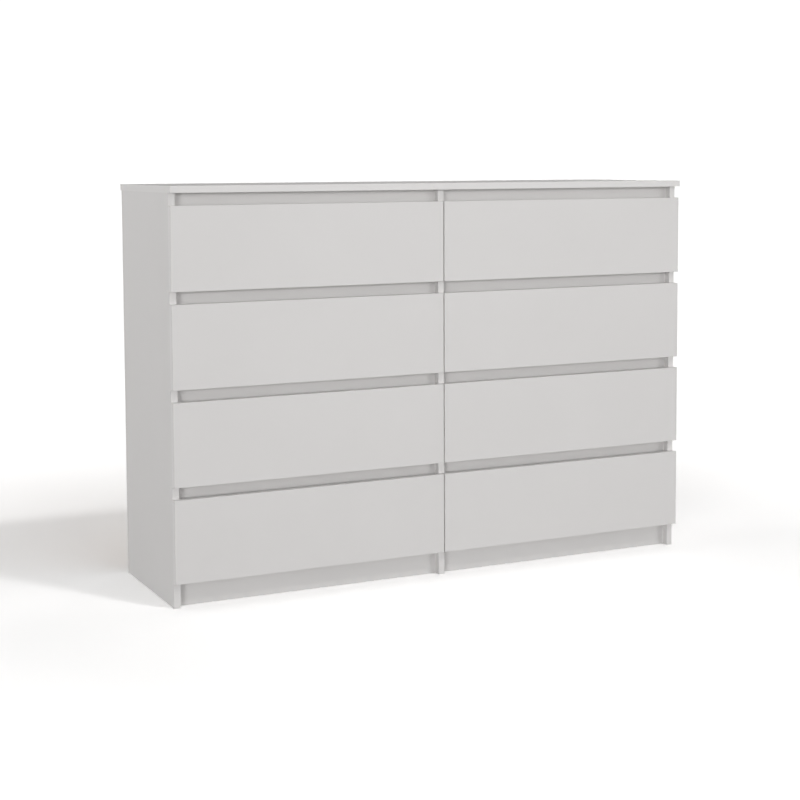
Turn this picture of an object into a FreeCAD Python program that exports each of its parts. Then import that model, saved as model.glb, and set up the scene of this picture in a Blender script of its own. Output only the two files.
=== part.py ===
"""Wide chest of eight handle-less drawers in two columns, built as flat-pack furniture is.

Laminated 16 mm boards make the carcass: a top, two side panels, a centre divider, two bottom
panels, two plinth boards and eight front rails. Cam fittings and dowels join them, and two
hardboard sheets close the back. The uprights stand on the floor. Each drawer is a front, a box
of three boards and a hardboard bottom in a groove. It runs on a pair of roller runners: one
roller turns on the carcass under the drawer's flange, the other turns on the drawer inside the
carcass's channel.

Frame, in millimetres: +X to the right as seen from the front, +Y to the back, +Z up. The origin
is on the floor, at the middle of the chest's width and depth.
"""

import FreeCAD, Part
import os

from FreeCAD import Vector

# Driving dimensions
WIDTH = 1400.0  # the top panel, which is the widest board
DEPTH = 400.0
HEIGHT = 980.0
BOARD = 16.0  # every laminated board
HARDBOARD = 3.0
ROWS = 4
COLUMNS = ("left", "right")

# Fronts and finger gaps
FRONT_HEIGHT = 197.0
FINGER_GAP = 29.0  # above each front
TOP_NOSE = 4.0  # the top stands this far in front of the drawer fronts
FRONT_AIR = 1.0  # between a closed front and the carcass
CENTRE_GAP = 3.0  # between the two columns of fronts
FRONT_REVEAL = 0.5  # from a front's outer edge to the end of the top
SIDE_REVEAL = 1.5  # from a side panel's outer face to the end of the top

# Carcass
RAIL_RECESS = 18.0  # rails and plinth lie this far behind the uprights' front edges
RAIL_OVERLAP = 18.0  # a rail reaches this far behind the front above and below its gap
BACK_INSET = 1.0  # the hardboard lies this far inside the rear edge of the top
BACK_EDGE = 1.0  # clearance round each hardboard sheet

# Drawer box
BOX_LENGTH = 350.0
BOX_HEIGHT = 140.0
BOX_RAISE = 26.0  # from the front's lower edge to the box's lower edge
GROOVE_RAISE = 10.0  # from the box's lower edge to the groove for the bottom
GROOVE_HEIGHT = 3.2
GROOVE_DEPTH = 5.0
BOTTOM_EDGE = 0.5  # clearance between the bottom's edge and the end of its groove

# Roller runners. Heights are from the drawer box's lower edge, and widths from the carcass wall.
RUNNER_WIDTH = 12.5  # from the carcass wall to the drawer box
SHEET = 1.2
CHANNEL_REACH = 10.5  # how far the channel's flanges stand out from the wall
CHANNEL_FLOOR = -3.0
CHANNEL_OPENING = 20.6
FLANGE_REACH = 2.8  # the drawer flange's outer edge, from the wall
FLANGE_UNDERSIDE = 16.0
FLANGE_END = 14.0  # the drawer flange stops this far in front of the drawer roller's axle
FOOT_REACH = 14.0  # how far the drawer member reaches under the box
RUNNER_SETBACK = 2.0  # from the carcass front to the channel's front end
RUNNER_LENGTH = 350.0
DRAWER_MEMBER_SETBACK = 3.0  # from the back of the drawer front
AXLE_INSET = 12.0  # from the end of a member to its roller's axle
ROLLER_RADIUS = 10.0
ROLLER_WIDTH = 7.0
ROLLER_RIM = 2.0  # the rolling rim round the dished face
ROLLER_HUB_RADIUS = 4.0
ROLLER_DISH = 1.5
ROLLER_GAP = 0.3  # between a roller and the sheet that it rolls on
AXLE_RADIUS = 2.0
AXLE_CLEARANCE = 0.05
AXLE_HEAD_RADIUS = 3.2
AXLE_HEAD = 0.8
CARCASS_ROLLER_X = 2.2  # the near face of the carcass roller, from the wall
DRAWER_ROLLER_X = 3.0
DRAWER_TRAVEL = 260.0
STOP_HEIGHT = 3.0  # raised stop in the channel's floor, in front of the drawer roller
STOP_LENGTH = 4.0
STOP_AIR = 0.3
SCREW_HEAD_RADIUS = 3.4  # the countersunk head fills the thickness of the channel's sheet
SCREW_RADIUS = 2.0
SCREW_LENGTH = 11.0  # in the board
SCREW_PLACES = (50.0, 320.0)  # from the channel's front end
SCREW_STAGGER = 14.0  # keeps the screws on the divider's two faces apart

# Cam fittings and dowels
CAM_RADIUS = 7.5
CAM_DEPTH = 12.5
CAM_SETBACK = 24.0  # from the board's end to the cam's centre
CAM_CLEARANCE = 0.2
CAM_SLOT = (1.4, 9.0, 1.5)  # width, length and depth of each arm of the driver's cross
BOLT_THREAD = (2.5, 11.0)  # radius and length
BOLT_SHANK = (3.0, 14.0)
BOLT_NECK = (2.2, 6.0)
BOLT_HEAD = (3.2, 5.0)
BOLT_BORE_RADIUS = 4.0
BOLT_SOCKET_RADIUS = 3.6  # the hollow in the cam that takes the bolt's head
DOWEL_RADIUS = 4.0
DOWEL_IN_FACE = 11.0
DOWEL_IN_END = 19.0
RAIL_FITTING_SPREAD = 11.0  # cam and dowel lie this far above and below a rail's middle
BOTTOM_CAMS_Y = (-110.0, 150.0)
BOTTOM_DOWELS_Y = (-70.0, 110.0)

# Places worked out from the dimensions above
TOP_FRONT_Y = -DEPTH / 2
TOP_UNDERSIDE = HEIGHT - BOARD
FRONT_FACE_Y = TOP_FRONT_Y + TOP_NOSE
FRONT_BACK_Y = FRONT_FACE_Y + BOARD
CARCASS_FRONT_Y = FRONT_BACK_Y + FRONT_AIR
CARCASS_REAR_Y = DEPTH / 2 - BACK_INSET - HARDBOARD
RAIL_FRONT_Y = CARCASS_FRONT_Y + RAIL_RECESS
RAIL_REAR_Y = RAIL_FRONT_Y + BOARD
RAIL_MIDDLE_Y = RAIL_FRONT_Y + BOARD / 2
SIDE_OUTER_X = WIDTH / 2 - SIDE_REVEAL
SIDE_INNER_X = SIDE_OUTER_X - BOARD
DIVIDER_X = BOARD / 2
PITCH = FRONT_HEIGHT + FINGER_GAP
PLINTH_HEIGHT = TOP_UNDERSIDE - ROWS * PITCH
BOX_REAR_Y = FRONT_BACK_Y + BOX_LENGTH
RUNNER_FRONT_Y = CARCASS_FRONT_Y + RUNNER_SETBACK
CARCASS_AXLE_Y = RUNNER_FRONT_Y + AXLE_INSET
DRAWER_AXLE_Y = BOX_REAR_Y - AXLE_INSET
CARCASS_AXLE_Z = FLANGE_UNDERSIDE - ROLLER_GAP - ROLLER_RADIUS
DRAWER_AXLE_Z = CHANNEL_FLOOR + ROLLER_GAP + ROLLER_RADIUS
BAYS = {"left": (-SIDE_INNER_X, -DIVIDER_X), "right": (DIVIDER_X, SIDE_INNER_X)}
FRONTS = {
    "left": (-WIDTH / 2 + FRONT_REVEAL, -CENTRE_GAP / 2),
    "right": (CENTRE_GAP / 2, WIDTH / 2 - FRONT_REVEAL),
}

X = Vector(1, 0, 0)
Y = Vector(0, 1, 0)
Z = Vector(0, 0, 1)


def block(x, y, z):
    """A box between the two ends given for each axis, in either order."""
    low = Vector(min(x), min(y), min(z))
    return Part.makeBox(abs(x[1] - x[0]), abs(y[1] - y[0]), abs(z[1] - z[0]), low)


def rod(start, direction, radius, length):
    return Part.makeCylinder(radius, length, start, direction)


def fused(first, *others):
    return first.fuse(list(others)).removeSplitter()


def write(name, solids):
    shape = solids[0] if len(solids) == 1 else Part.makeCompound(solids)
    shape.exportStep("parts/" + name + ".step")
    print(f"{name:28s} {len(solids):3d} solids  {shape.Volume / 1000:10.1f} cm3")


def front_bottom(row):
    """The lower edge of the fronts in a row, counted from 1 at the top."""
    return TOP_UNDERSIDE - row * PITCH


def rail_heights():
    """The lower and upper edge of each rail, from the top down."""
    spans = [(TOP_UNDERSIDE - FINGER_GAP - RAIL_OVERLAP, TOP_UNDERSIDE)]
    for row in range(1, ROWS):
        low = front_bottom(row) - FINGER_GAP - RAIL_OVERLAP
        spans.append((low, front_bottom(row) + RAIL_OVERLAP))
    return spans


def walls(bay):
    """The two walls of a bay, each with the way inward."""
    return ((bay[0], 1), (bay[1], -1))


def runner_walls():
    """Each carcass runner's wall, the way inward, and its drawer box's lower edge."""
    return [(wall, inward, front_bottom(row) + BOX_RAISE)
            for column in COLUMNS for row in range(1, ROWS + 1)
            for wall, inward in walls(BAYS[column])]


def runner_screws(wall, inward, base):
    """The places where a runner's screws enter its wall."""
    stagger = SCREW_STAGGER if inward < 0 else 0
    height = base + CHANNEL_FLOOR + CHANNEL_OPENING / 2
    return [Vector(wall, RUNNER_FRONT_Y + along + stagger, height) for along in SCREW_PLACES]


# Cam fittings and dowels


def cam(centre, to_bolt, to_face):
    """The round cam in its pocket. to_face points at the board's face that it is dropped in from."""
    radius = CAM_RADIUS - CAM_CLEARANCE
    base = centre - to_face * (CAM_DEPTH - BOARD / 2 - CAM_CLEARANCE)
    body = rod(base, to_face, radius, CAM_DEPTH - 2 * CAM_CLEARANCE)
    socket = rod(centre - to_bolt * CAM_CLEARANCE * 8, to_bolt, BOLT_SOCKET_RADIUS, 2 * radius)
    width, length, depth = CAM_SLOT
    mouth = centre + to_face * (BOARD / 2 - CAM_CLEARANCE)
    across = to_face.cross(to_bolt)
    arms = []
    for along in (to_bolt, across):
        side = to_face.cross(along)
        corner = mouth - along * length / 2 - side * width / 2 - to_face * depth
        far = mouth + along * length / 2 + side * width / 2 + to_face
        arms.append(block((corner.x, far.x), (corner.y, far.y), (corner.z, far.z)))
    return body.cut([socket] + arms)


def bolt_end(start, direction):
    """The part of a bolt in a board's end: shank, neck and the head that the cam pulls on."""
    pieces = []
    place = start
    for radius, length in (BOLT_SHANK, BOLT_NECK, BOLT_HEAD):
        pieces.append(rod(place, direction, radius, length))
        place = place + direction * length
    return pieces


def cam_cutters(start, direction, to_face):
    """The bolt's bore in a board's end, and the cam's pocket in its face."""
    centre = start + direction * CAM_SETBACK
    pocket = rod(centre + to_face * (BOARD / 2), -to_face, CAM_RADIUS, CAM_DEPTH)
    return [rod(start, direction, BOLT_BORE_RADIUS, CAM_SETBACK), pocket]


class Fittings:
    """Collects the cams, bolts and dowels, and what each board has cut out of it."""

    def __init__(self):
        self.metal = []
        self.dowels = []
        self.cuts = {}

    def cut(self, board, *tools):
        self.cuts.setdefault(board, []).extend(tools)

    def add_cam(self, board, start, direction, to_face):
        self.metal.append(cam(start + direction * CAM_SETBACK, -direction, to_face))
        self.cut(board, *cam_cutters(start, direction, to_face))

    def bolted(self, host, board, start, direction, to_face):
        """A bolt screwed into the host's face, and its cam in the board that meets the face at start."""
        radius, length = BOLT_THREAD
        thread = rod(start - direction * length, direction, radius, length)
        self.metal.append(fused(thread, *bolt_end(start, direction)))
        self.cut(host, rod(start - direction * length, direction, radius, length))
        self.add_cam(board, start, direction, to_face)

    def bolted_through(self, host, boards, start, to_face):
        """A double-ended bolt through the divider, with a cam in the board on each side."""
        left, right = start - X * DIVIDER_X, start + X * DIVIDER_X
        through = rod(left, X, BOLT_SHANK[0], BOARD)
        self.metal.append(fused(through, *bolt_end(left, -X), *bolt_end(right, X)))
        self.cut(host, rod(left, X, BOLT_SHANK[0], BOARD))
        self.add_cam(boards[0], left, -X, to_face)
        self.add_cam(boards[1], right, X, to_face)

    def dowelled(self, host, board, start, direction):
        self.dowels.append(rod(start - direction * DOWEL_IN_FACE, direction, DOWEL_RADIUS,
                               DOWEL_IN_FACE + DOWEL_IN_END))
        self.cut(host, rod(start - direction * DOWEL_IN_FACE, direction, DOWEL_RADIUS, DOWEL_IN_FACE))
        self.cut(board, rod(start, direction, DOWEL_RADIUS, DOWEL_IN_END))

    def dowelled_through(self, host, boards, start):
        left, right = start - X * DIVIDER_X, start + X * DIVIDER_X
        self.dowels.append(rod(left - X * DOWEL_IN_END, X, DOWEL_RADIUS, BOARD + 2 * DOWEL_IN_END))
        self.cut(host, rod(left, X, DOWEL_RADIUS, BOARD))
        self.cut(boards[0], rod(left, -X, DOWEL_RADIUS, DOWEL_IN_END))
        self.cut(boards[1], rod(right, X, DOWEL_RADIUS, DOWEL_IN_END))

    def finish(self, board, solid):
        tools = self.cuts.get(board)
        return solid.cut(tools) if tools else solid


def join_crossboards(fittings, name, places, cam_at, dowel_at, to_face):
    """Joins one left and one right board, called name_left and name_right, to the three uprights.

    cam_at and dowel_at hold the (y, z) of each cam bolt and each dowel.
    """
    boards = [name + "_left", name + "_right"]
    for y, z in cam_at:
        fittings.bolted("side_left", boards[0], Vector(-SIDE_INNER_X, y, z), X, to_face)
        fittings.bolted("side_right", boards[1], Vector(SIDE_INNER_X, y, z), -X, to_face)
        fittings.bolted_through("divider", boards, Vector(0, y, z), to_face)
    for y, z in dowel_at:
        fittings.dowelled("side_left", boards[0], Vector(-SIDE_INNER_X, y, z), X)
        fittings.dowelled("side_right", boards[1], Vector(SIDE_INNER_X, y, z), -X)
        fittings.dowelled_through("divider", boards, Vector(0, y, z))
    for board, bay in zip(boards, COLUMNS):
        places[board] = BAYS[bay]


# Carcass


def carcass_boards():
    """Writes the laminated boards of the carcass, and the fittings that join them."""
    fittings = Fittings()
    places = {}

    for index, (low, high) in enumerate(rail_heights()):
        middle = (low + high) / 2
        join_crossboards(fittings, f"rail_{index}", places,
                         [(RAIL_MIDDLE_Y, middle + RAIL_FITTING_SPREAD)],
                         [(RAIL_MIDDLE_Y, middle - RAIL_FITTING_SPREAD)], Y)
    plinth_middle = PLINTH_HEIGHT / 2
    join_crossboards(fittings, "plinth", places,
                     [(RAIL_MIDDLE_Y, plinth_middle + RAIL_FITTING_SPREAD)],
                     [(RAIL_MIDDLE_Y, plinth_middle - RAIL_FITTING_SPREAD)], Y)
    bottom_z = PLINTH_HEIGHT + BOARD / 2
    join_crossboards(fittings, "bottom", places,
                     [(y, bottom_z) for y in BOTTOM_CAMS_Y],
                     [(y, bottom_z) for y in BOTTOM_DOWELS_Y], -Z)

    upright_x = {"side_left": -SIDE_OUTER_X + BOARD / 2, "divider": 0.0,
                 "side_right": SIDE_OUTER_X - BOARD / 2}
    for upright, x in upright_x.items():
        to_face = -X if upright == "side_right" else X
        for y in BOTTOM_CAMS_Y:
            fittings.bolted("top", upright, Vector(x, y, TOP_UNDERSIDE), -Z, to_face)
        for y in BOTTOM_DOWELS_Y:
            fittings.dowelled("top", upright, Vector(x, y, TOP_UNDERSIDE), -Z)

    for wall, inward, base in runner_walls():
        upright = "divider" if abs(wall) == DIVIDER_X else "side_left" if wall < 0 else "side_right"
        for place in runner_screws(wall, inward, base):
            fittings.cut(upright, rod(place, X * -inward, SCREW_RADIUS, SCREW_LENGTH))

    depth_span = (CARCASS_FRONT_Y, CARCASS_REAR_Y)
    rail_span = (RAIL_FRONT_Y, RAIL_REAR_Y)
    top = block((-WIDTH / 2, WIDTH / 2), (TOP_FRONT_Y, DEPTH / 2), (TOP_UNDERSIDE, HEIGHT))
    write("top_panel", [fittings.finish("top", top)])
    upright_names = {"side_left": "side_panel_left", "divider": "centre_divider",
                     "side_right": "side_panel_right"}
    for upright, x in upright_x.items():
        board = block((x - BOARD / 2, x + BOARD / 2), depth_span, (0, TOP_UNDERSIDE))
        write(upright_names[upright], [fittings.finish(upright, board)])

    def pair(name, y_span, z_span):
        return [fittings.finish(f"{name}_{bay}", block(places[f"{name}_{bay}"], y_span, z_span))
                for bay in COLUMNS]

    write("bottom_panels", pair("bottom", depth_span, (PLINTH_HEIGHT, PLINTH_HEIGHT + BOARD)))
    write("plinth_boards", pair("plinth", rail_span, (0, PLINTH_HEIGHT)))
    rails = []
    for index, z_span in enumerate(rail_heights()):
        rails += pair(f"rail_{index}", rail_span, z_span)
    write("front_rails", rails)
    write("cam_fittings", fittings.metal)
    write("dowels", fittings.dowels)


def back_panels():
    """Two hardboard sheets on the rear edges of the uprights, meeting on the divider."""
    y_span = (CARCASS_REAR_Y, CARCASS_REAR_Y + HARDBOARD)
    z_span = (PLINTH_HEIGHT + BACK_EDGE, TOP_UNDERSIDE - BACK_EDGE)
    outer = SIDE_OUTER_X - BACK_EDGE
    write("back_panels", [block((-outer, -BACK_EDGE / 2), y_span, z_span),
                          block((BACK_EDGE / 2, outer), y_span, z_span)])


# Runners. Each is described from its own carcass wall: wall is the wall's X, and inward is +1 or
# -1, the way from the wall to the drawer. base is the height of the drawer box's lower edge.


def at_wall(wall, inward, x, y, z, base):
    span = (wall + inward * x[0], wall + inward * x[1])
    return block(span, y, (base + z[0], base + z[1]))


def carcass_runner(wall, inward, base):
    """The channel on the carcass, the riveted axle of the roller at its front end, and its screws."""
    y_end = RUNNER_FRONT_Y + RUNNER_LENGTH
    roof = CHANNEL_FLOOR + CHANNEL_OPENING
    stop_contact = (ROLLER_RADIUS**2 - (ROLLER_RADIUS + ROLLER_GAP - STOP_HEIGHT) ** 2) ** 0.5
    stop_y = DRAWER_AXLE_Y - DRAWER_TRAVEL - stop_contact - STOP_AIR
    floor_start = CARCASS_AXLE_Y + ROLLER_RADIUS + SHEET
    roof_start = DRAWER_AXLE_Y - DRAWER_TRAVEL - STOP_LENGTH
    reach = (0, CHANNEL_REACH)
    toward = X * inward
    web = at_wall(wall, inward, (0, SHEET), (RUNNER_FRONT_Y, y_end),
                  (CHANNEL_FLOOR - SHEET, roof + SHEET), base)
    floor = at_wall(wall, inward, reach, (floor_start, y_end),
                    (CHANNEL_FLOOR - SHEET, CHANNEL_FLOOR), base)
    ceiling = at_wall(wall, inward, reach, (roof_start, y_end), (roof, roof + SHEET), base)
    stop = at_wall(wall, inward, reach, (stop_y - STOP_LENGTH, stop_y),
                   (CHANNEL_FLOOR, CHANNEL_FLOOR + STOP_HEIGHT), base)

    axle_base = Vector(wall, CARCASS_AXLE_Y, base + CARCASS_AXLE_Z)
    shank_end = CARCASS_ROLLER_X + ROLLER_WIDTH + AXLE_CLEARANCE * 4
    axle = fused(rod(axle_base, toward, AXLE_RADIUS, shank_end + AXLE_HEAD),
                 rod(axle_base + toward * shank_end, toward, AXLE_HEAD_RADIUS, AXLE_HEAD))
    holes = [rod(axle_base, toward, AXLE_RADIUS, SHEET)]
    screws = []
    for place in runner_screws(wall, inward, base):
        head = Part.makeCone(SCREW_RADIUS, SCREW_HEAD_RADIUS, SHEET, place, toward)
        screws.append(fused(head, rod(place, -toward, SCREW_RADIUS, SCREW_LENGTH)))
        holes.append(head)
    return [fused(web, floor, ceiling, stop).cut(holes), axle], screws


def drawer_runner(wall, inward, base):
    """The member screwed to the drawer box, and the riveted axle of the roller at its rear end."""
    y_span = (FRONT_BACK_Y + DRAWER_MEMBER_SETBACK, BOX_REAR_Y)
    inner = RUNNER_WIDTH - SHEET
    flange_top = FLANGE_UNDERSIDE + SHEET
    web = at_wall(wall, inward, (inner, RUNNER_WIDTH), y_span, (-SHEET, flange_top), base)
    foot = at_wall(wall, inward, (inner, inner + FOOT_REACH), y_span, (-SHEET, 0), base)
    flange = at_wall(wall, inward, (FLANGE_REACH, RUNNER_WIDTH),
                     (y_span[0], DRAWER_AXLE_Y - FLANGE_END), (FLANGE_UNDERSIDE, flange_top), base)
    axle_base = Vector(wall + inward * RUNNER_WIDTH, DRAWER_AXLE_Y, base + DRAWER_AXLE_Z)
    toward = X * -inward
    shank_end = RUNNER_WIDTH - DRAWER_ROLLER_X + AXLE_CLEARANCE * 4
    axle = fused(rod(axle_base, toward, AXLE_RADIUS, shank_end + AXLE_HEAD),
                 rod(axle_base + toward * shank_end, toward, AXLE_HEAD_RADIUS, AXLE_HEAD))
    member = fused(web, foot, flange).cut(rod(axle_base, toward, AXLE_RADIUS, SHEET))
    return [member, axle]


def roller(wall, inward, near_face, y, z):
    """A nylon roller about an X axis, with a dished face on its inner side."""
    toward = X * inward
    start = Vector(wall + inward * near_face, y, z)
    disc = rod(start, toward, ROLLER_RADIUS, ROLLER_WIDTH)
    bore = rod(start, toward, AXLE_RADIUS + AXLE_CLEARANCE, ROLLER_WIDTH)
    dish_start = start + toward * (ROLLER_WIDTH - ROLLER_DISH)
    dish = rod(dish_start, toward, ROLLER_RADIUS - ROLLER_RIM, ROLLER_DISH)
    hub = rod(dish_start, toward, ROLLER_HUB_RADIUS, ROLLER_DISH)
    return disc.cut([bore, dish.cut(hub)])


def carcass_runners():
    runners = []
    screws = []
    for wall, inward, base in runner_walls():
        runner, its_screws = carcass_runner(wall, inward, base)
        runners += runner
        screws += its_screws
    write("carcass_runners", runners)
    write("runner_screws", screws)


# Drawers


def drawer_box(bay, base):
    """Two grooved sides and a back. The back stands on the bottom panel."""
    outer = (bay[0] + RUNNER_WIDTH, bay[1] - RUNNER_WIDTH)
    inner = (outer[0] + BOARD, outer[1] - BOARD)
    y_span = (FRONT_BACK_Y, BOX_REAR_Y)
    groove_z = (base + GROOVE_RAISE, base + GROOVE_RAISE + GROOVE_HEIGHT)
    groove = block((inner[0] - GROOVE_DEPTH, inner[1] + GROOVE_DEPTH), y_span, groove_z)
    sides = [block((outer[0], inner[0]), y_span, (base, base + BOX_HEIGHT)).cut(groove),
             block((inner[1], outer[1]), y_span, (base, base + BOX_HEIGHT)).cut(groove)]
    back = block(inner, (BOX_REAR_Y - BOARD, BOX_REAR_Y), (groove_z[1], base + BOX_HEIGHT))
    return sides + [back]


def bottom_span(bay):
    """The left and right edge of a drawer's bottom, in its grooves."""
    reach = RUNNER_WIDTH + BOARD - GROOVE_DEPTH + BOTTOM_EDGE
    return (bay[0] + reach, bay[1] - reach)


def drawer(column, row):
    """Writes one drawer, with the two carcass rollers that carry its front end."""
    bay = BAYS[column]
    low = front_bottom(row)
    base = low + BOX_RAISE
    name = f"drawer_{column}_{row}"
    across = bottom_span(bay)
    groove_z = (base + GROOVE_RAISE, base + GROOVE_RAISE + GROOVE_HEIGHT)
    front = block(FRONTS[column], (FRONT_FACE_Y, FRONT_BACK_Y), (low, low + FRONT_HEIGHT))
    groove = block((across[0] - BOTTOM_EDGE, across[1] + BOTTOM_EDGE),
                   (FRONT_BACK_Y - GROOVE_DEPTH, FRONT_BACK_Y), groove_z)
    bottom = block(across, (FRONT_BACK_Y - GROOVE_DEPTH + BOTTOM_EDGE, BOX_REAR_Y),
                   (groove_z[0], groove_z[0] + HARDBOARD))
    write(f"{name}_front", [front.cut(groove)])
    write(f"{name}_box", drawer_box(bay, base))
    write(f"{name}_bottom", [bottom])
    runners = []
    for wall, inward in walls(bay):
        runners += drawer_runner(wall, inward, base)
    write(f"{name}_runners", runners)
    write(f"{name}_rollers", [roller(wall, inward, DRAWER_ROLLER_X, DRAWER_AXLE_Y,
                                     base + DRAWER_AXLE_Z) for wall, inward in walls(bay)])
    write(f"carcass_rollers_{column}_{row}", [roller(wall, inward, CARCASS_ROLLER_X, CARCASS_AXLE_Y,
                                              base + CARCASS_AXLE_Z) for wall, inward in walls(bay)])


def main():
    os.makedirs("parts", exist_ok=True)
    carcass_boards()
    back_panels()
    carcass_runners()
    for column in COLUMNS:
        for row in range(1, ROWS + 1):
            drawer(column, row)


main()
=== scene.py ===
"""A wide chest of eight handle-less drawers: its looks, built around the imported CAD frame.

The CAD boards, runners and rollers keep their shapes, and get softened edges and materials. The
small things that the CAD leaves out are added here: the cams, screws and nails that show when a
drawer is open or from behind. Everything is in metres, +X to the right as seen from the front,
+Y to the back and +Z up.
"""

import math

import bmesh
import bpy
from mathutils import Matrix, Vector


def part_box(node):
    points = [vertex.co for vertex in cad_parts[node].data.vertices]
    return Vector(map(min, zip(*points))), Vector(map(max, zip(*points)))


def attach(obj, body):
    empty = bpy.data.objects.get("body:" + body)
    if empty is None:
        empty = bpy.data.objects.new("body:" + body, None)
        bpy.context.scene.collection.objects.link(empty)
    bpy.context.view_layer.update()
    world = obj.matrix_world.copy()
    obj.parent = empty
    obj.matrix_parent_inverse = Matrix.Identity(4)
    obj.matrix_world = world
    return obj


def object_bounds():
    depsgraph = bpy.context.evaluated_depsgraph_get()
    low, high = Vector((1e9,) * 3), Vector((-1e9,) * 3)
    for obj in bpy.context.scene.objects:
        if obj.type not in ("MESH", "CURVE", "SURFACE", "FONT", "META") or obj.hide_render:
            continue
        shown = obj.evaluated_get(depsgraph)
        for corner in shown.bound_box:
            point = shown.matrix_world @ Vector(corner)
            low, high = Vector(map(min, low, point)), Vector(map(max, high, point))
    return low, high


MM = 0.001
COLUMNS = ("left", "right")
ROWS = (1, 2, 3, 4)

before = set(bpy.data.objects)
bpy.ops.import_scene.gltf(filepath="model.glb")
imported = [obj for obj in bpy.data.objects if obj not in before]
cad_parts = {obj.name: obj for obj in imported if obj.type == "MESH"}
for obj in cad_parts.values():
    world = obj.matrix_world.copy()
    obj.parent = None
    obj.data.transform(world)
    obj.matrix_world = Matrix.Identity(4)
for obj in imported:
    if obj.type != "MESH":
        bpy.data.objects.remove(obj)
cad_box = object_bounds()


# Camera, light and floor

CAMERA_PLACE = Vector((-1.8211, -3.7000, 1.0326))
CAMERA_YAW = math.radians(25.884)  # to the right of +Y
CAMERA_PITCH = math.radians(4.498)  # below the horizon
CAMERA_ROLL = math.radians(-0.248)
CAMERA_LENS = 72.29  # millimetres, for the sensor below
CAMERA_SENSOR = 36.0
CAMERA_SHIFT = -0.14

SKY_COLOUR = (1.0, 0.995, 0.99, 1)
SKY_HORIZON = 0.0
SKY_ZENITH = 0.80
SKY_GATHER = 3.0  # how closely the sky's light gathers overhead
SKY_SEEN = 1.1  # as the camera sees it
SKY_REFLECTED = 0.38  # as a sheen on the boards shows it
SUN_COLOUR = (1.0, 0.99, 0.985)
KEY_TOWARDS = Vector((0.52, -0.85, 1.15))  # from the chest to the key light
KEY_STRENGTH = 0.46
KEY_ANGLE = math.radians(6.0)
FILL_FRONT_LEFT = 2.03
FILL_FRONT_RIGHT = 1.34
FILL_BACK = 1.95
FILL_ANGLE = math.radians(24.0)
SOFTBOX_PLACE = Vector((0, -2.6, 1.5))
SOFTBOX_SIZE = 1.5
SOFTBOX_POWER = 10.7
FLOOR_SIZE = 400.0
FLOOR_DROP = 0.2 * MM  # so that the floor doesn't coincide with the feet
FLOOR_PALE = 0.45  # as the chest is lit by it
FLOOR_MOTTLE = 0.98
FLOOR_MOTTLE_SIZE = 0.9
FLOOR_SEEN = 1.60  # as the camera sees it: overexposed to white, with the shadow left in it
FLOOR_SEEN_FAR = 2.15  # the same, past the softbox's reach
FLOOR_NEAR = 1.1  # where the first gives way to the second, from the chest's middle
FLOOR_FAR = 2.2


def make_camera():
    ahead = Vector((math.sin(CAMERA_YAW) * math.cos(CAMERA_PITCH),
                    math.cos(CAMERA_YAW) * math.cos(CAMERA_PITCH),
                    -math.sin(CAMERA_PITCH)))
    right = Vector((math.cos(CAMERA_YAW), -math.sin(CAMERA_YAW), 0))
    level = Matrix((right, right.cross(ahead), -ahead)).transposed().to_4x4()
    data = bpy.data.cameras.new("camera")
    data.lens = CAMERA_LENS
    data.sensor_width = CAMERA_SENSOR
    data.shift_y = CAMERA_SHIFT
    camera = bpy.data.objects.new("camera", data)
    camera.matrix_world = (Matrix.Translation(CAMERA_PLACE) @ level
                           @ Matrix.Rotation(CAMERA_ROLL, 4, "Z"))
    bpy.context.scene.collection.objects.link(camera)
    bpy.context.scene.camera = camera


def make_sky():
    """Soft light from overhead, in surroundings that the camera sees as plain white."""
    world = bpy.data.worlds.new("studio")
    world.use_nodes = True
    tree = world.node_tree
    direction = tree.nodes.new("ShaderNodeTexCoord")
    split = tree.nodes.new("ShaderNodeSeparateXYZ")
    up = tree.nodes.new("ShaderNodeMath")
    up.operation = "MAXIMUM"
    up.inputs[1].default_value = 0.0
    gather = tree.nodes.new("ShaderNodeMath")
    gather.operation = "POWER"
    gather.inputs[1].default_value = SKY_GATHER
    light = tree.nodes.new("ShaderNodeMapRange")
    light.inputs["To Min"].default_value = SKY_HORIZON
    light.inputs["To Max"].default_value = SKY_ZENITH
    ray = tree.nodes.new("ShaderNodeLightPath")
    sheen = tree.nodes.new("ShaderNodeMix")
    sheen.inputs["B"].default_value = SKY_REFLECTED
    seen = tree.nodes.new("ShaderNodeMix")
    seen.inputs["B"].default_value = SKY_SEEN
    background = tree.nodes["Background"]
    background.inputs["Color"].default_value = SKY_COLOUR
    for output, entry in ((direction.outputs["Generated"], split.inputs[0]),
                          (split.outputs["Z"], up.inputs[0]),
                          (up.outputs[0], gather.inputs[0]),
                          (gather.outputs[0], light.inputs["Value"]),
                          (light.outputs["Result"], sheen.inputs["A"]),
                          (ray.outputs["Is Glossy Ray"], sheen.inputs["Factor"]),
                          (sheen.outputs[0], seen.inputs["A"]),
                          (ray.outputs["Is Camera Ray"], seen.inputs["Factor"]),
                          (seen.outputs[0], background.inputs["Strength"])):
        tree.links.new(output, entry)
    bpy.context.scene.world = world


def make_sun(name, towards, strength, angle):
    data = bpy.data.lights.new(name, "SUN")
    data.energy = strength
    data.angle = angle
    data.color = SUN_COLOUR
    sun = bpy.data.objects.new(name, data)
    sun.matrix_world = towards.to_track_quat("Z", "Y").to_matrix().to_4x4()
    bpy.context.scene.collection.objects.link(sun)


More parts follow.
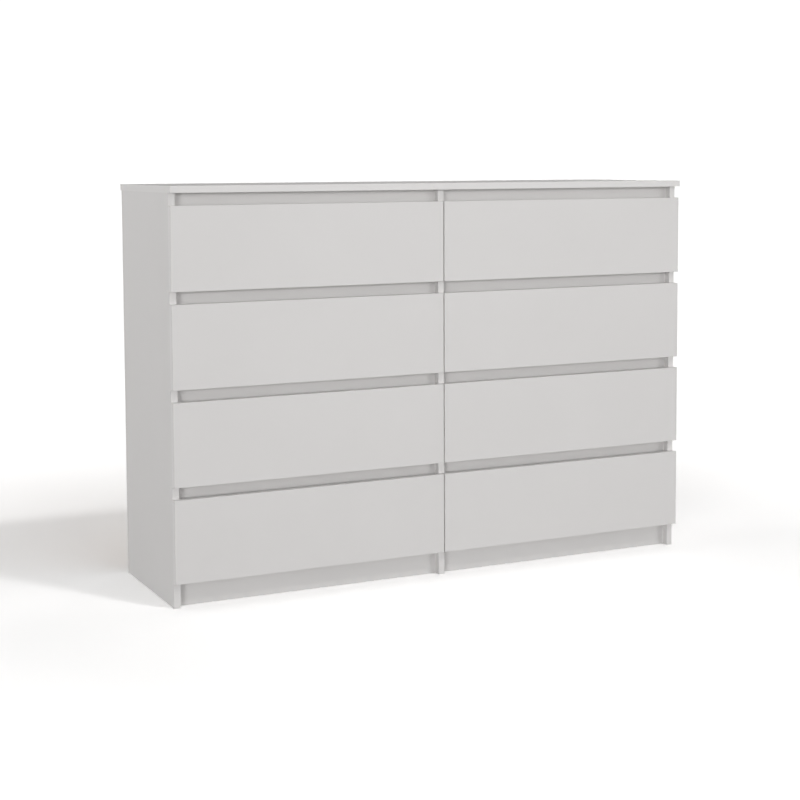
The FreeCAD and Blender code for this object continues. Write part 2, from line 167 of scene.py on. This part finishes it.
def make_lights():
    """A soft key light from the front right, and softer level light from the four corners."""
    make_sun("key", KEY_TOWARDS, KEY_STRENGTH, KEY_ANGLE)
    for name, towards, strength in (("fill_front_left", (-1, -1), FILL_FRONT_LEFT),
                                    ("fill_front_right", (1, -1), FILL_FRONT_RIGHT),
                                    ("fill_back_left", (-1, 1), FILL_BACK),
                                    ("fill_back_right", (1, 1), FILL_BACK)):
        make_sun(name, Vector((*towards, 0.0)), strength, FILL_ANGLE)


def make_softbox():
    """A softbox before the chest and above it, so that its upper fronts are a little lighter."""
    data = bpy.data.lights.new("softbox", "AREA")
    data.size = SOFTBOX_SIZE
    data.energy = SOFTBOX_POWER
    lamp = bpy.data.objects.new("softbox", data)
    back = SOFTBOX_PLACE - (cad_box[0] + cad_box[1]) / 2
    lamp.matrix_world = (Matrix.Translation(SOFTBOX_PLACE)
                         @ back.to_track_quat("Z", "Y").to_matrix().to_4x4())
    bpy.context.scene.collection.objects.link(lamp)


def make_floor(material):
    mesh = bpy.data.meshes.new("floor")
    half = FLOOR_SIZE / 2
    mesh.from_pydata([(-half, -half, 0), (half, -half, 0), (half, half, 0), (-half, half, 0)],
                     [], [(0, 1, 2, 3)])
    mesh.materials.append(material)
    floor = bpy.data.objects.new("floor", mesh)
    floor.location.z = -FLOOR_DROP
    bpy.context.scene.collection.objects.link(floor)


# Materials

LAMINATE = (0.800, 0.790, 0.783)
LAMINATE_SHADE = (0.780, 0.770, 0.763)
EDGE_BAND = (0.830, 0.821, 0.814)
SEAM_SHADE = (0.700, 0.688, 0.670)
BROWN_LIGHT = (0.390, 0.255, 0.152)
BROWN_DARK = (0.250, 0.152, 0.084)
COATING = (0.790, 0.790, 0.782)
COATING_SHADE = (0.750, 0.750, 0.742)
NYLON = (0.740, 0.732, 0.712)
NYLON_SHADE = (0.680, 0.670, 0.645)
ZINC = (0.560, 0.570, 0.590)
ZINC_SHADE = (0.400, 0.405, 0.420)
# near-black: painted shade inside the shallow driver recesses of screws and cams
RECESS_PAINTED_SHADE = (0.060, 0.060, 0.062)
BEECH = (0.520, 0.350, 0.200)
BEECH_SHADE = (0.380, 0.235, 0.125)


class Surface:
    """A Principled material, with helpers that add nodes for its grain, mottling and relief."""

    def __init__(self, name, roughness, metallic=0.0, specular=0.5):
        self.material = bpy.data.materials.new(name)
        self.material.use_nodes = True
        self.tree = self.material.node_tree
        self.shader = self.tree.nodes["Principled BSDF"]
        self.shader.inputs["Roughness"].default_value = roughness
        self.shader.inputs["Metallic"].default_value = metallic
        self.shader.inputs["Specular IOR Level"].default_value = specular
        self.place = self.tree.nodes.new("ShaderNodeTexCoord").outputs["Object"]

    def link(self, output, entry):
        self.tree.links.new(output, entry)

    def noise(self, size, detail=2.0, stretch=(1, 1, 1)):
        """Noise whose patches are about size metres wide, stretched along the axes by stretch."""
        squeeze = self.tree.nodes.new("ShaderNodeMapping")
        squeeze.inputs["Scale"].default_value = [1 / (size * s) for s in stretch]
        pattern = self.tree.nodes.new("ShaderNodeTexNoise")
        pattern.inputs["Scale"].default_value = 1.0
        pattern.inputs["Detail"].default_value = detail
        self.link(self.place, squeeze.inputs["Vector"])
        self.link(squeeze.outputs["Vector"], pattern.inputs["Vector"])
        return pattern.outputs["Fac"]

    def spread(self, value, low, high, start=0.3, end=0.7):
        """Value, from start to end, spread over low to high."""
        ranged = self.tree.nodes.new("ShaderNodeMapRange")
        ranged.inputs["From Min"].default_value = start
        ranged.inputs["From Max"].default_value = end
        ranged.inputs["To Min"].default_value = low
        ranged.inputs["To Max"].default_value = high
        self.link(value, ranged.inputs["Value"])
        return ranged.outputs["Result"]

    def mix(self, share, first, second):
        """A colour from first to second. Each is a colour or another node's output."""
        mixer = self.tree.nodes.new("ShaderNodeMix")
        mixer.data_type = "RGBA"
        self.link(share, mixer.inputs["Factor"])
        for entry, colour in ((mixer.inputs[6], first), (mixer.inputs[7], second)):
            if isinstance(colour, tuple):
                entry.default_value = (*colour, 1)
            else:
                self.link(colour, entry)
        return mixer.outputs[2]

    def sum(self, first, second):
        adder = self.tree.nodes.new("ShaderNodeMath")
        self.link(first, adder.inputs[0])
        self.link(second, adder.inputs[1])
        return adder.outputs[0]

    def facing(self, axis):
        """How far the surface faces the axis, from -1 to 1."""
        facing = self.tree.nodes.new("ShaderNodeVectorMath")
        facing.operation = "DOT_PRODUCT"
        facing.inputs[1].default_value = axis
        self.link(self.tree.nodes.new("ShaderNodeNewGeometry").outputs["Normal"],
                  facing.inputs[0])
        return facing.outputs["Value"]

    def above(self, value, limit):
        """1 where the value is above the limit, and 0 elsewhere."""
        over = self.tree.nodes.new("ShaderNodeMath")
        over.operation = "GREATER_THAN"
        over.inputs[1].default_value = limit
        self.link(value, over.inputs[0])
        return over.outputs[0]

    def across(self, axis, limit=0.9):
        """1 where the surface faces along the axis, either way, and 0 elsewhere."""
        size = self.tree.nodes.new("ShaderNodeMath")
        size.operation = "ABSOLUTE"
        self.link(self.facing(axis), size.inputs[0])
        return self.above(size.outputs[0], limit)

    def towards(self, axis, limit=0.5):
        """1 where the surface faces the axis, and 0 elsewhere."""
        return self.above(self.facing(axis), limit)

    def colour(self, output):
        self.link(output, self.shader.inputs["Base Color"])

    def rough(self, output):
        self.link(output, self.shader.inputs["Roughness"])

    def relief(self, height, depth):
        """Raises and lowers the surface by up to depth metres."""
        bump = self.tree.nodes.new("ShaderNodeBump")
        bump.inputs["Distance"].default_value = depth
        self.link(height, bump.inputs["Height"])
        self.link(bump.outputs["Normal"], self.shader.inputs["Normal"])


def laminate(name, through):
    """Matt white laminate, with a paler band on the board's edges.

    through is the axis that runs through the board's thickness.
    """
    surface = Surface(name, 0.55, specular=0.35)
    cloud = surface.noise(220 * MM, 3)
    speck = surface.noise(1.1 * MM, 2)
    tone = surface.sum(surface.spread(cloud, 0, 0.7), surface.spread(speck, 0, 0.3))
    face = surface.mix(tone, LAMINATE_SHADE, LAMINATE)
    on_face = surface.across(through)
    surface.colour(surface.mix(on_face, EDGE_BAND, face))
    surface.rough(surface.sum(surface.spread(speck, 0.48, 0.58), surface.spread(cloud, 0, 0.04)))
    surface.relief(surface.sum(speck, surface.noise(0.5 * MM, 1)), 0.03 * MM)
    return surface.material


def band_seam():
    """The rounded edge of a board, where the edge band meets the laminate."""
    surface = Surface("band_seam", 0.42, specular=0.4)
    wear = surface.noise(14 * MM, 3)
    surface.colour(surface.mix(surface.spread(wear, 0, 1), SEAM_SHADE, LAMINATE_SHADE))
    surface.rough(surface.spread(wear, 0.36, 0.5))
    return surface.material


def hardboard(name, painted_towards):
    """Hardboard, painted white on the side that faces painted_towards, and raw brown elsewhere."""
    surface = Surface(name, 0.6, specular=0.3)
    fibres = surface.noise(0.9 * MM, 3, (4.0, 1.0, 1.0))
    cross_fibres = surface.noise(0.8 * MM, 3, (1.0, 1.0, 3.5))
    specks = surface.noise(3.0 * MM, 2)
    cloud = surface.noise(160 * MM, 3)
    tangle = surface.sum(surface.spread(fibres, 0, 0.5), surface.spread(cross_fibres, 0, 0.5))
    raw = surface.mix(surface.spread(tangle, 0.1, 1.0, 0.0, 1.0), BROWN_DARK, BROWN_LIGHT)
    raw = surface.mix(surface.spread(specks, 0.0, 0.45, 0.62, 0.72), raw, BROWN_DARK)
    raw = surface.mix(surface.spread(cloud, 0.0, 0.3), raw, BROWN_LIGHT)
    paint = surface.mix(surface.spread(cloud, 0, 1), LAMINATE_SHADE, LAMINATE)
    painted = surface.towards(painted_towards)
    surface.colour(surface.mix(painted, raw, paint))
    surface.rough(surface.spread(tangle, 0.5, 0.68))
    surface.relief(tangle, 0.03 * MM)
    return surface.material


def coated_steel():
    surface = Surface("coated_steel", 0.38, specular=0.5)
    peel = surface.noise(1.6 * MM, 1)
    cloud = surface.noise(45 * MM, 3)
    surface.colour(surface.mix(surface.spread(cloud, 0, 1), COATING_SHADE, COATING))
    surface.rough(surface.spread(cloud, 0.33, 0.44))
    surface.relief(peel, 0.02 * MM)
    return surface.material


def nylon():
    surface = Surface("nylon", 0.45, specular=0.45)
    cloud = surface.noise(6 * MM, 3)
    surface.colour(surface.mix(surface.spread(cloud, 0, 1), NYLON_SHADE, NYLON))
    surface.rough(surface.spread(cloud, 0.4, 0.52))
    surface.relief(surface.noise(0.6 * MM, 2), 0.01 * MM)
    return surface.material


def zinc():
    surface = Surface("zinc", 0.35, metallic=1.0)
    spangle = surface.noise(1.4 * MM, 4)
    surface.colour(surface.mix(surface.spread(spangle, 0, 1), ZINC_SHADE, ZINC))
    surface.rough(surface.spread(spangle, 0.28, 0.5))
    surface.relief(spangle, 0.02 * MM)
    return surface.material


def recess():
    """Painted shade for a screw's or cam's driver recess: a near-black colour, mottled at random
    with dark zinc, stands in for the shade inside the shallow recess.
    """
    surface = Surface("recess", 0.6, metallic=0.6)
    shade_mottle = surface.noise(0.5 * MM, 2)
    surface.colour(surface.mix(surface.spread(shade_mottle, 0, 1), RECESS_PAINTED_SHADE, ZINC_SHADE))
    surface.rough(surface.spread(shade_mottle, 0.5, 0.8))
    return surface.material


def beech():
    surface = Surface("beech", 0.6, specular=0.3)
    grain = surface.noise(2.0 * MM, 4, (8.0, 1.0, 1.0))
    surface.colour(surface.mix(surface.spread(grain, 0, 1), BEECH_SHADE, BEECH))
    surface.rough(surface.spread(grain, 0.5, 0.7))
    surface.relief(grain, 0.05 * MM)
    return surface.material


def floor_paint():
    """Pale to the chest, and overexposed white to the camera."""
    surface = Surface("floor_paint", 0.9, specular=0.0)
    seen = surface.tree.nodes.new("ShaderNodeLightPath").outputs["Is Camera Ray"]
    cloud = surface.noise(FLOOR_MOTTLE_SIZE, 3)
    pale = surface.mix(surface.spread(cloud, 0, 1), (FLOOR_MOTTLE * FLOOR_PALE,) * 3,
                       (FLOOR_PALE,) * 3)
    distance = surface.tree.nodes.new("ShaderNodeVectorMath")
    distance.operation = "LENGTH"
    surface.link(surface.place, distance.inputs[0])
    away = surface.spread(distance.outputs["Value"], 0, 1, FLOOR_NEAR, FLOOR_FAR)
    white = surface.mix(away, (FLOOR_SEEN,) * 3, (FLOOR_SEEN_FAR,) * 3)
    surface.colour(surface.mix(seen, pale, white))
    return surface.material


ACROSS = {"x": (1, 0, 0), "y": (0, 1, 0), "z": (0, 0, 1)}
LAMINATES = {letter: laminate("laminate_" + letter, axis) for letter, axis in ACROSS.items()}
BACK_HARDBOARD = hardboard("back_hardboard", (0, -1, 0))
DRAWER_HARDBOARD = hardboard("drawer_hardboard", (0, 0, 1))
BAND_SEAM = band_seam()
COATED_STEEL = coated_steel()
NYLON_WHITE = nylon()
ZINC_PLATE = zinc()
# painted shade for the screws' and cams' driver recesses
PAINTED_RECESS_SHADE = recess()
BEECH_WOOD = beech()


# The CAD nodes' edges and materials

BOARD_ROUNDING = 0.7 * MM
STEEL_ROUNDING = 0.25 * MM
ROUNDING_SEGMENTS = 3
SHARP = math.radians(50)  # an edge that turns more than this is rounded
SEAM = 0.01 * MM
BOARD_AXES = {"top_panel": "z", "side_panel_left": "x", "side_panel_right": "x",
              "centre_divider": "x", "bottom_panels": "z", "plinth_boards": "y",
              "front_rails": "y"}


def soften(node, width):
    """Rounds a CAD node's edges slightly, as an edge band or folded sheet is rounded."""
    weld = node.modifiers.new("weld", "WELD")
    weld.merge_threshold = SEAM
    bevel = node.modifiers.new("bevel", "BEVEL")
    bevel.width = width
    bevel.segments = ROUNDING_SEGMENTS
    bevel.limit_method = "ANGLE"
    bevel.angle_limit = SHARP
    bevel.use_clamp_overlap = True
    normals = node.modifiers.new("normals", "WEIGHTED_NORMAL")
    normals.keep_sharp = False
    normals.weight = 100


def finish_node(name, material, rounding=None):
    """A CAD node with a material, and with its edges rounded where a width is given."""
    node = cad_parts[name]
    node.data.materials.clear()
    node.data.materials.append(material)
    if rounding:
        soften(node, rounding)


def finish_board(name, through):
    """A laminated board, whose rounded edges show the seam of the edge band."""
    finish_node(name, LAMINATES[through], BOARD_ROUNDING)
    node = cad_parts[name]
    node.data.materials.append(BAND_SEAM)
    node.modifiers["bevel"].material = 1


def finish_carcass():
    for name, through in BOARD_AXES.items():
        finish_board(name, through)
    finish_node("back_panels", BACK_HARDBOARD, STEEL_ROUNDING)
    finish_node("carcass_runners", COATED_STEEL, STEEL_ROUNDING)
    finish_node("runner_screws", ZINC_PLATE)
    finish_node("cam_fittings", ZINC_PLATE)
    finish_node("dowels", BEECH_WOOD)


def finish_drawer(column, row):
    name = f"drawer_{column}_{row}"
    finish_board(f"{name}_front", "y")
    finish_board(f"{name}_box", "x")
    finish_node(f"{name}_bottom", DRAWER_HARDBOARD)
    finish_node(f"{name}_runners", COATED_STEEL, STEEL_ROUNDING)
    finish_node(f"{name}_rollers", NYLON_WHITE, STEEL_ROUNDING)
    finish_node(f"carcass_rollers_{column}_{row}", NYLON_WHITE, STEEL_ROUNDING)


# Fasteners that the CAD leaves out

HEAD_FACETS = 28
HEAD_RIM = 0.35  # of the head's rise
RECESS_FLOOR = 0.3  # of the head's rise
NAIL_FACETS = 16


def turned(mesh, profile, around):
    """Rings of points round +Z, one for each radius and height, joined by smooth walls."""
    rings = [[mesh.verts.new((radius * math.cos(2 * math.pi * k / around),
                              radius * math.sin(2 * math.pi * k / around), height))
              for k in range(around)] for radius, height in profile]
    for low, high in zip(rings, rings[1:]):
        for k in range(around):
            after = (k + 1) % around
            mesh.faces.new((low[k], low[after], high[after], high[k])).smooth = True
    return rings


def head_mesh(radius, rise, recess_reach, recess_width):
    """A low round head about +Z with a cross recess, as a new bmesh. Its recess has material 1,
    which paints shade into it.
    """
    mesh = bmesh.new()
    rim = HEAD_RIM * rise
    rings = turned(mesh, [(radius, 0.0), (radius, rise - rim), (radius - rim, rise)], HEAD_FACETS)
    half = recess_width / 2
    arm = [(recess_reach, -half), (recess_reach, half), (half, half)]
    outline = [Matrix.Rotation(math.pi / 2 * turn, 2) @ Vector(point)
               for turn in range(4) for point in arm]
    mouth = [mesh.verts.new((x, y, rise)) for x, y in outline]
    floor = [mesh.verts.new((x, y, RECESS_FLOOR * rise)) for x, y in outline]
    count = len(outline)
    for k in range(count):
        after = (k + 1) % count
        mesh.faces.new((mouth[after], mouth[k], floor[k], floor[after])).material_index = 1
    mesh.faces.new(floor).material_index = 1
    edges = [mesh.edges.get((ring[k], ring[(k + 1) % len(ring)]))
             for ring in (rings[-1], mouth) for k in range(len(ring))]
    bmesh.ops.triangle_fill(mesh, edges=edges, use_beauty=True, normal=(0, 0, 1))
    mesh.faces.new(list(reversed(rings[0])))
    bmesh.ops.recalc_face_normals(mesh, faces=mesh.faces)
    return mesh


def nail_mesh(radius, rise):
    """A nail's flat head about +Z, as a new bmesh."""
    mesh = bmesh.new()
    rings = turned(mesh, [(radius, 0.0), (radius, 0.45 * rise), (0.8 * radius, rise)],
                   NAIL_FACETS)
    mesh.faces.new(rings[-1])
    mesh.faces.new(list(reversed(rings[0])))
    return mesh


def place(mesh, places, name, body):
    """One zinc piece made of a copy of mesh at each place: a point, and the way that it faces."""
    whole = bmesh.new()
    for point, facing in places:
        turn = facing.to_track_quat("Z", "Y").to_matrix().to_4x4()
        single = bpy.data.meshes.new("single")
        mesh.to_mesh(single)
        single.transform(Matrix.Translation(point) @ turn)
        whole.from_mesh(single)
        bpy.data.meshes.remove(single)
    data = bpy.data.meshes.new(name)
    whole.to_mesh(data)
    whole.free()
    data.materials.append(ZINC_PLATE)
    # material 1 paints shade into the driver recesses
    data.materials.append(PAINTED_RECESS_SHADE)
    piece = bpy.data.objects.new(name, data)
    bpy.context.scene.collection.objects.link(piece)
    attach(piece, body)


CAM_HEAD = head_mesh(7.3 * MM, 0.5 * MM, 4.6 * MM, 1.5 * MM)
SCREW_HEAD = head_mesh(3.4 * MM, 0.4 * MM, 2.1 * MM, 0.8 * MM)
NAIL_HEAD = nail_mesh(2.2 * MM, 0.7 * MM)
STEEL = 1.2 * MM
BOX_FITTING_HEIGHTS = (48 * MM, 112 * MM)  # above the lower edge of the box
CAM_INSET = 24 * MM  # behind the front
BACK_SCREW_INSET = 8 * MM
RUNNER_SCREW_SPOTS = (45 * MM, 170 * MM, 290 * MM)  # behind the front
RUNNER_SCREW_HEIGHT = 8 * MM
NAIL_SPACING = 95 * MM
NAIL_MARGIN = 7 * MM
NAIL_TOP_MARGIN = 28 * MM
NAIL_FROM_SEAM = 4 * MM


def evenly(start, end, spacing):
    """Places from start to end, both included, about spacing apart."""
    count = max(1, round(abs(end - start) / spacing))
    return [start + (end - start) * k / count for k in range(count + 1)]


def drawer_fasteners(column, row):
    """The cams and screws of a box's outer faces, and the screws of its runners."""
    name = f"drawer_{column}_{row}"
    low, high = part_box(f"{name}_box")
    cams = []
    screws = []
    for x, outwards in ((low.x, -1), (high.x, 1)):
        facing = Vector((outwards, 0, 0))
        for height in BOX_FITTING_HEIGHTS:
            cams.append((Vector((x, low.y + CAM_INSET, low.z + height)), facing))
            screws.append((Vector((x, high.y - BACK_SCREW_INSET, low.z + height)), facing))
        for back in RUNNER_SCREW_SPOTS:
            screws.append((Vector((x + outwards * STEEL, low.y + back,
                                   low.z + RUNNER_SCREW_HEIGHT)), facing))
    place(CAM_HEAD, cams, f"{name}_cams", name)
    place(SCREW_HEAD, screws, f"{name}_screws", name)


def back_nails():
    """Nails through the back sheets, round their edges and along the divider."""
    low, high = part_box("back_panels")
    left, right = low.x + NAIL_MARGIN, high.x - NAIL_MARGIN
    lowest, highest = low.z + NAIL_MARGIN, high.z - NAIL_TOP_MARGIN
    spots = []
    for x in (left, -NAIL_FROM_SEAM, NAIL_FROM_SEAM, right):
        spots += [(x, z) for z in evenly(lowest, highest, NAIL_SPACING)]
    for start, end in ((left, -NAIL_FROM_SEAM), (NAIL_FROM_SEAM, right)):
        spots += [(x, lowest) for x in evenly(start, end, NAIL_SPACING)[1:-1]]
    facing = Vector((0, 1, 0))
    place(NAIL_HEAD, [(Vector((x, high.y, z)), facing) for x, z in spots],
          "back_nails", "carcass")


# The whole scene

make_camera()
make_sky()
make_lights()
make_softbox()
make_floor(floor_paint())
finish_carcass()
back_nails()
for column in COLUMNS:
    for row in ROWS:
        finish_drawer(column, row)
        drawer_fasteners(column, row)

bpy.context.scene.view_settings.view_transform = "Standard"
